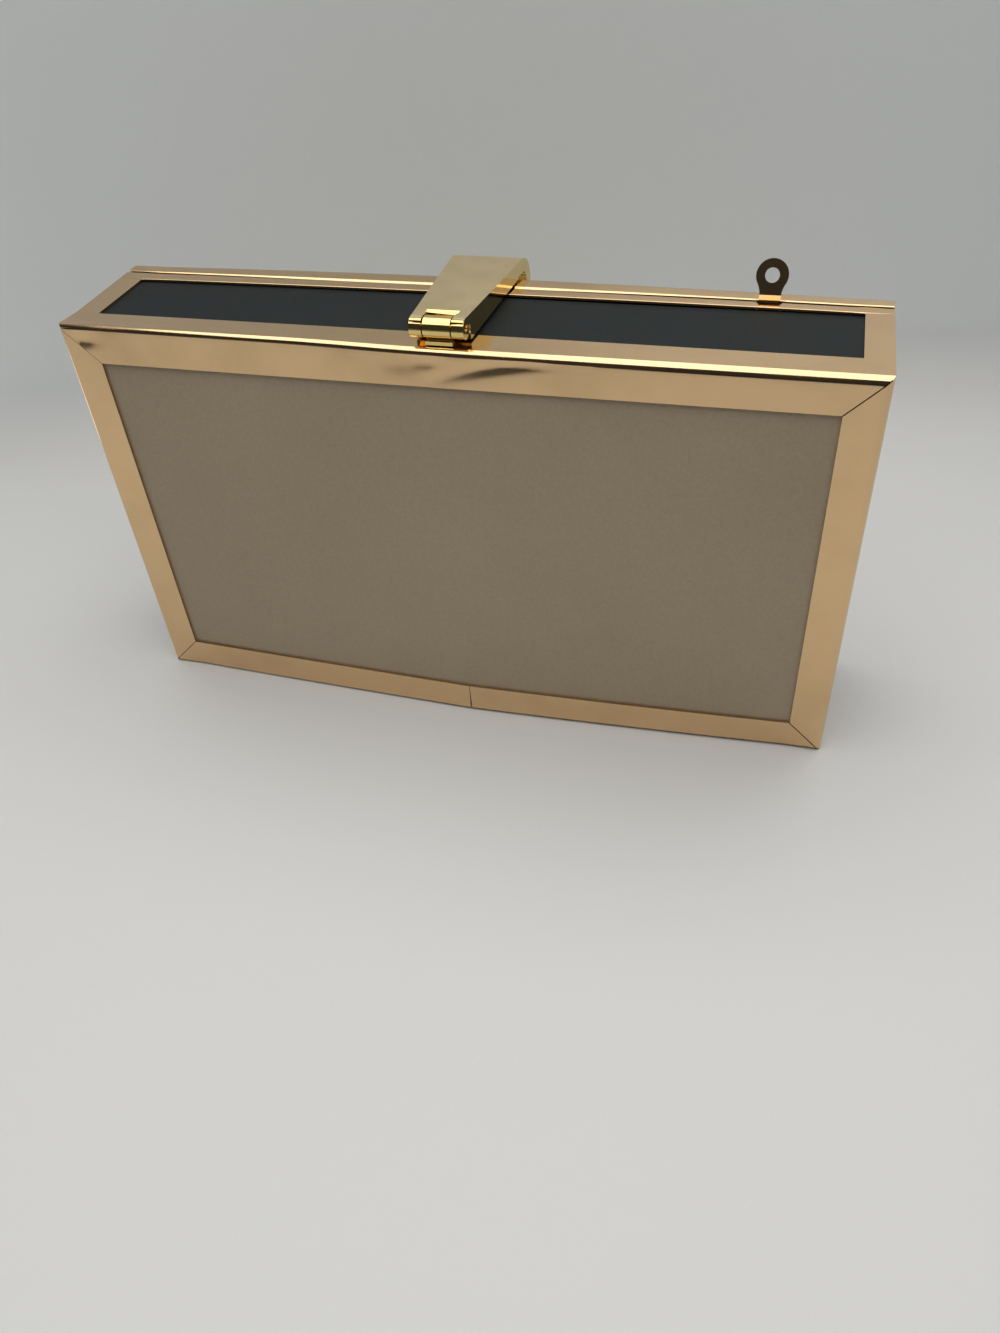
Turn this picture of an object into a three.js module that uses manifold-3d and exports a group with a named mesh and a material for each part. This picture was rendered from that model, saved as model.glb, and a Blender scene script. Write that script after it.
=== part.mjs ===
// A hard box clutch bag: a deep case and a shallow lid, each a strip of gilt sheet metal folded
// into a frame with leather-covered boards behind it. A piano hinge joins them along the bottom,
// and a lift clasp on the case hooks over the lid's top edge. A strap tab stands at the seam.
// Lengths are millimetres. X runs along the bag, +Z is up and the front faces -Y. The origin is the
// middle of the flat bottom, and the pieces are drawn with y = 0 on the front face and then moved.
import * as THREE from "three";
import { mergeVertices } from "three/addons/utils/BufferGeometryUtils.js";
import Module from "manifold-3d";

const wasm = await Module();
wasm.setup();

// Case and lid
const WIDTH = 200;
const HEIGHT = 112.2;
const DEPTH = 39;
const LID_DEPTH = 3.7;
const SEAM_GAP = 0.4;
const CLEARANCE = 0.3;

// Folded sheet metal
const SHEET = 0.6;
const FLANGE = 9.3;
const EDGE_RADIUS = 1.6;
const RIM_RADIUS = 0.7;
const RIM_LIP = 2.2;
const MITRE_SLIT = 0.3;
const MITRE_SLIT_START = 0.7;
const MITRE_SLIT_DEPTH = 1.3;
const BUTT_JOINT_X = 0;
const BUTT_JOINT_GAP = 0.3;

// How far the sprung metal bows out at the middle of the case's foot, the seam's top and the lid's top,
// and how much rounder than two straight halves the case's foot is on its left and right
const CASE_BOW = 3.2;
const SEAM_BOW = 1;
const LID_BOW = 2.2;
const LEFT_ROUNDNESS = 0.15;
const RIGHT_ROUNDNESS = 0.5;
const TOP_ROUNDNESS = 1;
const BOW_END_MARGIN = 3.5;

// Windows in the case's top and side walls, and the boards behind them and behind the two faces
const WINDOW_FRONT_BORDER = 8.7;
const WINDOW_REAR_BORDER = 4;
const WINDOW_END_BORDER = 6.5;
const INSET_BOARD = 1.5;
const INSET_OVERLAP_REAR = 0.8;
const INSET_OVERLAP = 3;
const FRONT_BOARD = 2.4;
const BOARD_MARGIN = 2;
const LID_BOARD = 1.5;

// Bottom hinge
const HINGE_AXIS_HEIGHT = 1.5;
const HINGE_KNUCKLE_RADIUS = 1.2;
const HINGE_PIN_RADIUS = 0.5;
const HINGE_END_INSET = 0.4;
const HINGE_KNUCKLES = 7;
const HINGE_LEAF = 0.6;
const CASE_LEAF_REACH = 7;
const LID_LEAF_REACH = 8;
const HINGE_PLAY = 0.08;

// Clasp: its axis is given from the front face and from the case's top
const CLASP_AXIS_Y = 3;
const CLASP_AXIS_RISE = 4.2;
const CLASP_KNUCKLE_RADIUS = 2.5;
const CLASP_MIDDLE_KNUCKLE = 6.6;
const CLASP_SLOT_LENGTH = 3.6;
const CLASP_PIN_RADIUS = 0.8;
const CLASP_PIN_PLAY = 0.08;
const CLASP_PIN_INSET = 0.2;
const FLAP_FRONT_WIDTH = 12.8;
const FLAP_REAR_WIDTH = 19.8;
const FLAP_NOSE = 1.8;
const FLAP_NOSE_CHAMFER = 1;
const FLAP_REAR_RISE = 4.6;
const FLAP_PLATE = 1.6;
const FLAP_SKIRT = 1.6;
const FLAP_SKIRT_GAP = 0.5;
const SKIRT_SHORT_OF_BACK = 0.2;
const SKIRT_FOOT_SHORT_OF_BACK = 1;
const FLAP_BEND_RADIUS = 6.3;
const LIP_STANDOFF = 5.7;
const LIP_THICKNESS = 3.1;
const LIP_DROP = 4.6;
const LIP_CHAMFER = 0.6;
const LIP_SIDE_OPENING = 0.9;
const SIDE_OPENING_CHAMFER = 2;
const HOLLOW_CHAMFER = 2;
const BASE_FRONT_Y = 1.7;
const BASE_PLATE = 0.9;
const BASE_PLATE_LENGTH = 12;
const BASE_TONGUE_Y = 3.2;
const BASE_TONGUE = 2.4;

// Strap tab: a flat tongue with a round eye
const TAB_FROM_END = 28.35;
const TAB_SHEET = 1;
const TAB_EYE_RISE = 5.65;
const TAB_HEAD_RADIUS = 3.75;
const TAB_HOLE_RADIUS = 1.7;
const TAB_NECK = 5.2;
const TAB_FOOT_WIDTH = 8;
const TAB_FOOT_REACH = 1.8;
const TAB_FROM_RIM = 0.2;
const TAB_ROOT_RISE = 0.7;
const TAB_SLOPE_RISE = 0.75;
const TAB_SLOPE_RUN = 1.05;
const TAB_NECK_START = 0.5;
const TAB_LEAN_DEG = 20;

const ARC_STEPS = 5;
const ROUND_SIDES = 24;
const BOW_STATIONS = 5;
const THROUGH = 5;
const JOIN = 0.1;

const seam = DEPTH - LID_DEPTH;
const caseRim = seam - SEAM_GAP / 2;
const lidRim = seam + SEAM_GAP / 2;
const top = HEIGHT;
const behindSheet = SHEET + CLEARANCE;
const hingeLength = WIDTH - 2 * HINGE_END_INSET;
const tabX = WIDTH / 2 - TAB_FROM_END;
const bowReach = WIDTH / 2 - FLANGE;
const bowEnd = bowReach - BOW_END_MARGIN;
const tabBack = caseRim + seamBulge(tabX, HEIGHT) - TAB_FROM_RIM;

const GILT = { color: 0xc2a274, roughness: 0.16, metalness: 1 };
const SATIN_GILT = { color: 0xb9ab84, roughness: 0.42, metalness: 1 };
const TAUPE_LEATHER = { color: 0x877a66, roughness: 0.6, metalness: 0 };
const BLACK_LEATHER = { color: 0x2b3133, roughness: 0.55, metalness: 0 };

// A closed geometry as a solid that can be joined and cut
function solidOf(geometry) {
  const bare = geometry.clone();
  bare.deleteAttribute("normal");
  bare.deleteAttribute("uv");
  const merged = mergeVertices(bare, 1e-4);
  return new wasm.Manifold(
    new wasm.Mesh({
      numProp: 3,
      vertProperties: new Float32Array(merged.attributes.position.array),
      triVerts: new Uint32Array(merged.index.array),
    }),
  );
}

// A solid as a named mesh of one material
function meshOf(name, solid, finish) {
  const made = solid.getMesh();
  const geometry = new THREE.BufferGeometry();
  geometry.setAttribute("position", new THREE.BufferAttribute(new Float32Array(made.vertProperties), 3));
  geometry.setIndex(new THREE.BufferAttribute(new Uint32Array(made.triVerts), 1));
  geometry.computeVertexNormals();
  const mesh = new THREE.Mesh(geometry, new THREE.MeshStandardMaterial(finish));
  mesh.name = name;
  return mesh;
}

function joined(solids) {
  return solids.reduce((whole, piece) => whole.add(piece));
}

// A box between two corners
function boxBetween([x0, y0, z0], [x1, y1, z1]) {
  const geometry = new THREE.BoxGeometry(x1 - x0, y1 - y0, z1 - z0);
  geometry.translate((x0 + x1) / 2, (y0 + y1) / 2, (z0 + z1) / 2);
  return solidOf(geometry);
}

// A round bar along X
function barAlongX(radius, x0, x1, y, z) {
  const geometry = new THREE.CylinderGeometry(radius, radius, x1 - x0, ROUND_SIDES);
  geometry.rotateZ(Math.PI / 2);
  geometry.translate((x0 + x1) / 2, y, z);
  return solidOf(geometry);
}

// A side view, drawn as a shape in (y, z), pulled along X
function pulledAlongX(shape, x0, x1) {
  const pull = { depth: x1 - x0, bevelEnabled: false, curveSegments: ARC_STEPS };
  const geometry = new THREE.ExtrudeGeometry(shape, pull);
  geometry.applyMatrix4(new THREE.Matrix4().set(0, 0, 1, x0, 1, 0, 0, 0, 0, 1, 0, 0, 0, 0, 0, 1));
  return solidOf(geometry);
}

// A plan, drawn as a shape in (x, y), pulled up along Z
function pulledUp(shape, z0, z1) {
  const geometry = new THREE.ExtrudeGeometry(shape, { depth: z1 - z0, bevelEnabled: false });
  geometry.translate(0, 0, z0);
  return solidOf(geometry);
}

// A skin through rings of points, closed at its two ends, or back onto its first ring
function loft(rings, flatRing, endless = false) {
  const count = flatRing.length;
  const faces = [];
  const spans = endless ? rings.length : rings.length - 1;
  for (let ring = 0; ring < spans; ring++) {
    const next = (ring + 1) % rings.length;
    for (let i = 0; i < count; i++) {
      const j = (i + 1) % count;
      faces.push([ring * count + i, next * count + i, next * count + j]);
      faces.push([ring * count + i, next * count + j, ring * count + j]);
    }
  }
  if (!endless) {
    const last = (rings.length - 1) * count;
    const turned = THREE.ShapeUtils.isClockWise(flatRing);
    for (const [a, b, c] of THREE.ShapeUtils.triangulateShape(flatRing, [])) {
      const near = [a, b, c];
      const far = [last + a, last + c, last + b];
      faces.push(turned ? near.reverse() : near, turned ? far.reverse() : far);
    }
  }
  const points = rings.flat();
  const volume = faces.reduce((sum, [a, b, c]) => {
    return sum + points[a].dot(new THREE.Vector3().crossVectors(points[b], points[c]));
  }, 0);
  if (volume < 0) for (const face of faces) face.reverse();
  const geometry = new THREE.BufferGeometry().setFromPoints(points);
  geometry.setIndex(faces.flat());
  return solidOf(geometry);
}

// Points of a quarter round about (across, deep), between two angles in quarter turns
function roundPoints(across, deep, radius, from, to) {
  return Array.from({ length: ARC_STEPS + 1 }, (_, i) => {
    const angle = (from + ((to - from) * i) / ARC_STEPS) * (Math.PI / 2);
    return new THREE.Vector2(across + radius * Math.cos(angle), deep + radius * Math.sin(angle));
  });
}

// The folded strip's section: x is the distance in from the bag's outline, y the distance from its
// outer face. The flange lies on the face, the wall on the outline and a short lip turns in at the rim.
function stripSection(wallDepth) {
  const rimBend = wallDepth - RIM_RADIUS;
  return [
    new THREE.Vector2(FLANGE, SHEET),
    new THREE.Vector2(FLANGE, 0),
    ...roundPoints(EDGE_RADIUS, EDGE_RADIUS, EDGE_RADIUS, -1, -2),
    ...roundPoints(RIM_RADIUS, rimBend, RIM_RADIUS, 2, 1),
    new THREE.Vector2(RIM_LIP, wallDepth),
    new THREE.Vector2(RIM_LIP, wallDepth - SHEET),
    ...roundPoints(RIM_RADIUS, rimBend, RIM_RADIUS - SHEET, 1, 2),
    ...roundPoints(EDGE_RADIUS, EDGE_RADIUS, EDGE_RADIUS - SHEET, -2, -1),
  ];
}

// A bow along X from nothing at the corners to one at the middle: two straight halves, or more rounded
function bow(x, roundness) {
  const share = Math.min(1, Math.abs(x) / bowReach);
  return (1 - share) * (1 + roundness * share);
}

// How far the front face stands out at a height: most at the bottom, and nothing at the top
function caseBulge(x, z) {
  return CASE_BOW * bow(x, x < 0 ? LEFT_ROUNDNESS : RIGHT_ROUNDNESS) * (1 - z / HEIGHT);
}

// How far the seam and the lid's back face stand back at a height: most at the top
function seamBulge(x, z) {
  return (SEAM_BOW * bow(x, TOP_ROUNDNESS) * z) / HEIGHT;
}

function lidBulge(x, z) {
  return (LID_BOW * bow(x, TOP_ROUNDNESS) * z) / HEIGHT;
}

// The share of the way from a strip's flange to its rim, at a distance from its outer face
function shareToRim(deep, wallDepth) {
  return Math.min(1, Math.max(0, (deep - SHEET) / (wallDepth - 2 * SHEET)));
}

// Even steps from one place to another
function stations(from, to, steps) {
  return Array.from({ length: steps + 1 }, (_, i) => from + ((to - from) * i) / steps);
}

// The case's frame: one strip folded round four mitred corners, whose ends meet under the bag
function caseFrame() {
  const section = stripSection(caseRim);
  const shape = (x, p, z) => {
    const toRim = shareToRim(p.y, caseRim);
    const deep = p.y - caseBulge(x, z) * (1 - toRim) + seamBulge(x, z) * toRim;
    return new THREE.Vector3(x, deep, z);
  };
  const bottomRing = (x) => section.map((p) => shape(x, p, p.x));
  const topRing = (x) => section.map((p) => shape(x, p, HEIGHT - p.x));
  const cornerRing = (side, high) =>
    section.map((p) => shape(side * (WIDTH / 2 - p.x), p, high ? HEIGHT - p.x : p.x));
  const rings = [
    ...stations(BUTT_JOINT_X - BUTT_JOINT_GAP / 2, -bowEnd, BOW_STATIONS).map(bottomRing),
    cornerRing(-1, false),
    cornerRing(-1, true),
    ...stations(-bowEnd, bowEnd, 2 * BOW_STATIONS).map(topRing),
    cornerRing(1, true),
    cornerRing(1, false),
    ...stations(bowEnd, BUTT_JOINT_X + BUTT_JOINT_GAP / 2, BOW_STATIONS).map(bottomRing),
  ];
  const cuts = [topWindow(), sideWindow(-1), sideWindow(1), hingeRelief(), tabNotch(), ...mitreSlits(0)];
  return cuts.reduce((frame, cut) => frame.subtract(cut), loft(rings, section));
}

// The thin slits where two flanges meet at the four corners of a face
function mitreSlits(yFace) {
  const from = MITRE_SLIT_START;
  const to = FLANGE + THROUGH;
  const middle = (from + to) / 2;
  const slits = [];
  for (const side of [-1, 1])
    for (const high of [false, true]) {
      const geometry = new THREE.BoxGeometry((to - from) * Math.SQRT2, 2 * MITRE_SLIT_DEPTH, MITRE_SLIT);
      geometry.rotateY(side < 0 === high ? Math.PI / 4 : -Math.PI / 4);
      geometry.translate(side * (WIDTH / 2 - middle), yFace, high ? HEIGHT - middle : middle);
      slits.push(solidOf(geometry));
    }
  return slits;
}

function topWindow() {
  const halfLength = WIDTH / 2 - WINDOW_END_BORDER;
  return boxBetween(
    [-halfLength, WINDOW_FRONT_BORDER, top - THROUGH],
    [halfLength, seam - WINDOW_REAR_BORDER, top + THROUGH],
  );
}

function sideWindow(side) {
  const x0 = side * (WIDTH / 2 - THROUGH);
  const x1 = side * (WIDTH / 2 + THROUGH);
  return boxBetween(
    [Math.min(x0, x1), WINDOW_FRONT_BORDER, WINDOW_END_BORDER],
    [Math.max(x0, x1), seam - WINDOW_REAR_BORDER, top - WINDOW_END_BORDER],
  );
}

// Room for the hinge's barrel, cut from both frames along the bottom of the seam
function hingeRelief() {
  const reach = HINGE_KNUCKLE_RADIUS + CLEARANCE;
  return boxBetween(
    [-WIDTH / 2 - THROUGH, seam - reach, -THROUGH],
    [WIDTH / 2 + THROUGH, seam + reach, HINGE_AXIS_HEIGHT + reach],
  );
}

// The notch in the case's rim through which the strap tab stands up
function tabNotch() {
  const half = TAB_NECK / 2 + CLEARANCE;
  return boxBetween(
    [tabX - half, tabBack - TAB_SHEET - CLEARANCE, top - THROUGH],
    [tabX + half, tabBack + THROUGH, top + THROUGH],
  );
}

// The lid's frame: the same folded strip, much shallower, with its flange on the back face
function lidFrame() {
  const wallDepth = DEPTH - lidRim;
  const section = stripSection(wallDepth);
  const shape = (x, p, z) => {
    const toRim = shareToRim(p.y, wallDepth);
    return new THREE.Vector3(x, DEPTH - p.y + lidBulge(x, z) * (1 - toRim) + seamBulge(x, z) * toRim, z);
  };
  const cornerRing = (side, high) =>
    section.map((p) => shape(side * (WIDTH / 2 - p.x), p, high ? HEIGHT - p.x : p.x));
  const rings = [
    cornerRing(-1, false),
    cornerRing(-1, true),
    ...stations(-bowEnd, bowEnd, 2 * BOW_STATIONS).map((x) => section.map((p) => shape(x, p, HEIGHT - p.x))),
    cornerRing(1, true),
    cornerRing(1, false),
    ...stations(bowEnd, -bowEnd, 2).map((x) => section.map((p) => shape(x, p, p.x))),
  ];
  const cuts = [hingeRelief(), ...mitreSlits(DEPTH)];
  return cuts.reduce((frame, cut) => frame.subtract(cut), loft(rings, section, true));
}

// A board that follows its frame's bulge: rings of four corners, each from its own height
function bulgedBoard(halfWidth, zLow, zHigh, yFront, thickness, bulge) {
  const rings = [-halfWidth, ...stations(-bowEnd, bowEnd, 2 * BOW_STATIONS), halfWidth].map((x) =>
    [
      [yFront, zLow],
      [yFront, zHigh],
      [yFront + thickness, zHigh],
      [yFront + thickness, zLow],
    ].map(([y, z]) => new THREE.Vector3(x, y + bulge(x, z), z)),
  );
  const flat = [
    new THREE.Vector2(yFront, zLow),
    new THREE.Vector2(yFront, zHigh),
    new THREE.Vector2(yFront + thickness, zHigh),
    new THREE.Vector2(yFront + thickness, zLow),
  ];
  return loft(rings, flat);
}

function frontBoard() {
  const half = WIDTH / 2 - BOARD_MARGIN;
  const outwards = (x, z) => -caseBulge(x, z);
  return bulgedBoard(half, BOARD_MARGIN, top - BOARD_MARGIN, behindSheet, FRONT_BOARD, outwards);
}

function lidBoard() {
  const half = WIDTH / 2 - BOARD_MARGIN;
  const low = HINGE_AXIS_HEIGHT + HINGE_KNUCKLE_RADIUS + 2 * CLEARANCE;
  const yFront = DEPTH - behindSheet - LID_BOARD;
  return bulgedBoard(half, low, top - BOARD_MARGIN, yFront, LID_BOARD, lidBulge);
}

function topInset() {
  const half = WIDTH / 2 - WINDOW_END_BORDER + INSET_OVERLAP;
  return boxBetween(
    [-half, WINDOW_FRONT_BORDER - INSET_OVERLAP, top - behindSheet - INSET_BOARD],
    [half, seam - WINDOW_REAR_BORDER + INSET_OVERLAP_REAR, top - behindSheet],
  );
}

function sideInset(side) {
  const outer = WIDTH / 2 - behindSheet;
  const x0 = side > 0 ? outer - INSET_BOARD : -outer;
  return boxBetween(
    [x0, WINDOW_FRONT_BORDER - INSET_OVERLAP, WINDOW_END_BORDER - INSET_OVERLAP],
    [x0 + INSET_BOARD, seam - WINDOW_REAR_BORDER + INSET_OVERLAP_REAR, top - WINDOW_END_BORDER + INSET_OVERLAP],
  );
}

// The hinge's knuckles along X, shared out in turn between the case's leaf and the lid's
function hingeKnuckles(first) {
  const pitch = hingeLength / HINGE_KNUCKLES;
  const spans = [];
  for (let i = first; i < HINGE_KNUCKLES; i += 2) {
    const x0 = -hingeLength / 2 + i * pitch + CLEARANCE / 2;
    spans.push([x0, x0 + pitch - CLEARANCE]);
  }
  return spans;
}

function hingeBarrels(spans) {
  const bore = HINGE_PIN_RADIUS + HINGE_PLAY;
  return spans.map(([x0, x1]) =>
    barAlongX(HINGE_KNUCKLE_RADIUS, x0, x1, seam, HINGE_AXIS_HEIGHT).subtract(
      barAlongX(bore, x0 - THROUGH, x1 + THROUGH, seam, HINGE_AXIS_HEIGHT),
    ),
  );
}

// The case's leaf lies on the bottom wall, and its tongues run out to every other knuckle
function caseHingeLeaf() {
  const spans = hingeKnuckles(0);
  const leafBack = seam - HINGE_KNUCKLE_RADIUS - CLEARANCE;
  const tongueEnd = seam - (HINGE_PIN_RADIUS + HINGE_KNUCKLE_RADIUS) / 2;
  const low = behindSheet;
  const half = WIDTH / 2 - behindSheet;
  const leaf = boxBetween([-half, leafBack - CASE_LEAF_REACH, low], [half, leafBack, low + HINGE_LEAF]);
  const tongues = spans.map(([x0, x1]) => {
    const root = [Math.max(x0, -half), leafBack - HINGE_LEAF, low];
    return boxBetween(root, [Math.min(x1, half), tongueEnd, low + HINGE_LEAF]);
  });
  return joined([leaf, ...tongues, ...hingeBarrels(spans)]);
}

// The lid's leaf stands against the lid's board
function lidHingeLeaf() {
  const spans = hingeKnuckles(1);
  const yBack = DEPTH - behindSheet - LID_BOARD - CLEARANCE;
  const low = HINGE_AXIS_HEIGHT + HINGE_KNUCKLE_RADIUS + CLEARANCE;
  const tongueLow = HINGE_AXIS_HEIGHT + (HINGE_PIN_RADIUS + HINGE_KNUCKLE_RADIUS) / 2;
  const half = spans[spans.length - 1][1];
  const leaf = boxBetween([-half, yBack - HINGE_LEAF, low], [half, yBack, low + LID_LEAF_REACH]);
  const tongues = spans.map(([x0, x1]) =>
    boxBetween([x0, yBack - HINGE_LEAF, tongueLow], [x1, yBack, low + HINGE_LEAF]),
  );
  return joined([leaf, ...tongues, ...hingeBarrels(spans)]);
}

function hingePin() {
  return barAlongX(HINGE_PIN_RADIUS, -hingeLength / 2, hingeLength / 2, seam, HINGE_AXIS_HEIGHT);
}

const claspZ = top + CLASP_AXIS_RISE;
const slotHalf = CLASP_MIDDLE_KNUCKLE / 2 + CLEARANCE;
const slotEnd = CLASP_AXIS_Y + CLASP_SLOT_LENGTH;
const lidBack = DEPTH + LID_BOW;
const lipInner = lidBack + LIP_STANDOFF;
const lipOuter = lipInner + LIP_THICKNESS;
const flapFront = CLASP_AXIS_Y - FLAP_NOSE;
const flapTopFront = claspZ + CLASP_KNUCKLE_RADIUS;
const flapTopRear = top + FLAP_REAR_RISE;
const flapBendY = lipOuter - FLAP_BEND_RADIUS;
const aboveClasp = flapTopFront + THROUGH;

// The height of the flap's top at a distance from the front face
function flapTopAt(y) {
  return flapTopFront + ((flapTopRear - flapTopFront) * (y - flapFront)) / (flapBendY - flapFront);
}

// Half the flap's width at a distance from the front face
function flapHalfWidth(y) {
  const share = (y - flapFront) / (lipOuter - flapFront);
  return (FLAP_FRONT_WIDTH + (FLAP_REAR_WIDTH - FLAP_FRONT_WIDTH) * share) / 2;
}

// The flap's plan, drawn in by a skirt's thickness for the hollow under it
function flapPlan(drawnIn, y0, y1) {
  const shape = new THREE.Shape();
  shape.moveTo(-flapHalfWidth(y0) + drawnIn, y0);
  shape.lineTo(flapHalfWidth(y0) - drawnIn, y0);
  shape.lineTo(flapHalfWidth(y1) - drawnIn, y1);
  shape.lineTo(-flapHalfWidth(y1) + drawnIn, y1);
  shape.closePath();
  return shape;
}

// The flap's side view: two end knuckles, a top that falls a little to the rear, and a hooked lip
function flapSideView() {
  const skirtLow = top + FLAP_SKIRT_GAP;
  const openingTop = top + LIP_SIDE_OPENING;
  const lipLow = top - LIP_DROP;
  const shape = new THREE.Shape();
  shape.moveTo(flapFront, claspZ);
  shape.lineTo(flapFront, flapTopFront - FLAP_NOSE_CHAMFER);
  shape.lineTo(flapFront + FLAP_NOSE_CHAMFER, flapTopAt(flapFront + FLAP_NOSE_CHAMFER));
  shape.lineTo(flapBendY, flapTopRear);
  shape.absarc(flapBendY, flapTopRear - FLAP_BEND_RADIUS, FLAP_BEND_RADIUS, Math.PI / 2, 0, true);
  shape.lineTo(lipOuter, lipLow + LIP_CHAMFER);
  shape.lineTo(lipOuter - LIP_CHAMFER, lipLow);
  shape.lineTo(lipInner + LIP_CHAMFER, lipLow);
  shape.lineTo(lipInner, lipLow + LIP_CHAMFER);
  shape.lineTo(lipInner, openingTop - SIDE_OPENING_CHAMFER);
  shape.lineTo(lipInner - SIDE_OPENING_CHAMFER, openingTop);
  shape.lineTo(lidBack - SKIRT_SHORT_OF_BACK, openingTop);
  shape.lineTo(lidBack - SKIRT_FOOT_SHORT_OF_BACK, skirtLow);
  shape.lineTo(CLASP_AXIS_Y + CLASP_KNUCKLE_RADIUS, skirtLow);
  shape.lineTo(CLASP_AXIS_Y + CLASP_KNUCKLE_RADIUS, claspZ);
  shape.closePath();
  return shape;
}

// The hollow under the flap's plate, open below
function flapHollow() {
  const shape = new THREE.Shape();
  shape.moveTo(slotEnd, top - THROUGH);
  shape.lineTo(slotEnd, flapTopAt(slotEnd) - FLAP_PLATE);
  shape.lineTo(lipInner - HOLLOW_CHAMFER, flapTopRear - FLAP_PLATE);
  shape.lineTo(lipInner, flapTopRear - FLAP_PLATE - HOLLOW_CHAMFER);
  shape.lineTo(lipInner, top - THROUGH);
  shape.closePath();
  const hollow = pulledAlongX(shape, -FLAP_REAR_WIDTH, FLAP_REAR_WIDTH);
  return hollow.intersect(pulledUp(flapPlan(FLAP_SKIRT, slotEnd, lipInner), top - THROUGH, aboveClasp));
}

function claspBore() {
  const reach = FLAP_FRONT_WIDTH;
  return barAlongX(CLASP_PIN_RADIUS + CLASP_PIN_PLAY, -reach, reach, CLASP_AXIS_Y, claspZ);
}

function claspFlap() {
  const wide = FLAP_REAR_WIDTH;
  const side = pulledAlongX(flapSideView(), -wide, wide);
  const knuckles = barAlongX(CLASP_KNUCKLE_RADIUS, -wide, wide, CLASP_AXIS_Y, claspZ);
  const plan = pulledUp(flapPlan(0, 0, lipOuter), top - THROUGH, aboveClasp);
  const slot = boxBetween([-slotHalf, -THROUGH, top - THROUGH], [slotHalf, slotEnd, claspZ + THROUGH]);
  return side.add(knuckles).intersect(plan).subtract(flapHollow()).subtract(slot).subtract(claspBore());
}

// The base plate on the case's top, whose tongue rises to the middle knuckle
function claspBase() {
  const half = CLASP_MIDDLE_KNUCKLE / 2;
  const low = top + CLEARANCE;
  const plateBack = BASE_FRONT_Y + BASE_PLATE_LENGTH;
  const plate = boxBetween([-half, BASE_FRONT_Y, low], [half, plateBack, low + BASE_PLATE]);
  const tongue = boxBetween([-half, BASE_TONGUE_Y, low], [half, BASE_TONGUE_Y + BASE_TONGUE, claspZ]);
  const knuckle = barAlongX(CLASP_KNUCKLE_RADIUS, -half, half, CLASP_AXIS_Y, claspZ);
  return joined([plate, tongue, knuckle]).subtract(claspBore());
}

function claspPin() {
  const half = FLAP_FRONT_WIDTH / 2 - CLASP_PIN_INSET;
  return barAlongX(CLASP_PIN_RADIUS, -half, half, CLASP_AXIS_Y, claspZ);
}

// The back of a bent sheet, from the line of its front: each corner moved square to both its sides
function backOfSheet(front, thickness) {
  const square = front.slice(1).map((p, i) => {
    const along = p.clone().sub(front[i]).normalize();
    return new THREE.Vector2(along.y, -along.x);
  });
  return front.map((p, i) => {
    const before = square[Math.max(0, i - 1)];
    const after = square[Math.min(square.length - 1, i)];
    const middle = before.clone().add(after).normalize();
    return p.clone().addScaledVector(middle, thickness / middle.dot(after));
  });
}

// The tab: a foot under the top wall, a root in the notch that bends back over the rim, and a head
// that leans back
function strapTab() {
  const neck = TAB_NECK / 2;
  const lean = THREE.MathUtils.degToRad(TAB_LEAN_DEG);
  const tabFront = tabBack - TAB_SHEET;
  const footTop = top - behindSheet;
  const slopeTop = TAB_ROOT_RISE + TAB_SLOPE_RISE;
  const bend = new THREE.Vector2(tabFront + TAB_SLOPE_RUN, top + slopeTop);
  const upwards = new THREE.Vector2(Math.sin(lean), Math.cos(lean));
  const front = [
    new THREE.Vector2(tabFront, footTop - TAB_SHEET),
    new THREE.Vector2(tabFront, top + TAB_ROOT_RISE),
    bend,
    bend.clone().addScaledVector(upwards, TAB_NECK_START),
  ];
  const side = new THREE.Shape([...front, ...backOfSheet(front, TAB_SHEET).reverse()]);
  const root = pulledAlongX(side, tabX - neck, tabX + neck);
  const foot = boxBetween(
    [tabX - TAB_FOOT_WIDTH / 2, tabFront - TAB_FOOT_REACH, footTop - TAB_SHEET],
    [tabX + TAB_FOOT_WIDTH / 2, tabFront + JOIN, footTop],
  );
  const head = new THREE.Shape();
  const meet = Math.asin(neck / TAB_HEAD_RADIUS);
  const eyeRise = (TAB_EYE_RISE - slopeTop) / Math.cos(lean);
  head.moveTo(-neck, 0);
  head.lineTo(neck, 0);
  head.absarc(0, eyeRise, TAB_HEAD_RADIUS, meet - Math.PI / 2, (3 * Math.PI) / 2 - meet, false);
  head.closePath();
  const eye = new THREE.Path();
  eye.absarc(0, eyeRise, TAB_HOLE_RADIUS, 0, 2 * Math.PI, true);
  head.holes.push(eye);
  const sheet = { depth: TAB_SHEET, bevelEnabled: false, curveSegments: ROUND_SIDES / 2 };
  const geometry = new THREE.ExtrudeGeometry(head, sheet);
  geometry.rotateX(Math.PI / 2);
  geometry.translate(0, TAB_SHEET, 0);
  geometry.rotateX(-lean);
  geometry.translate(tabX, bend.x, bend.y);
  return joined([root, foot, solidOf(geometry)]);
}

const bag = new THREE.Group();
bag.position.y = -DEPTH / 2;

const caseGroup = new THREE.Group();
caseGroup.add(
  meshOf("case_frame", caseFrame(), GILT),
  meshOf("front_panel", frontBoard(), TAUPE_LEATHER),
  meshOf("top_inset", topInset(), BLACK_LEATHER),
  meshOf("left_inset", sideInset(-1), BLACK_LEATHER),
  meshOf("right_inset", sideInset(1), BLACK_LEATHER),
  meshOf("case_hinge_leaf", caseHingeLeaf(), GILT),
  meshOf("hinge_pin", hingePin(), GILT),
  meshOf("clasp_base", claspBase(), GILT),
  meshOf("strap_tab", strapTab(), GILT),
);

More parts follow.
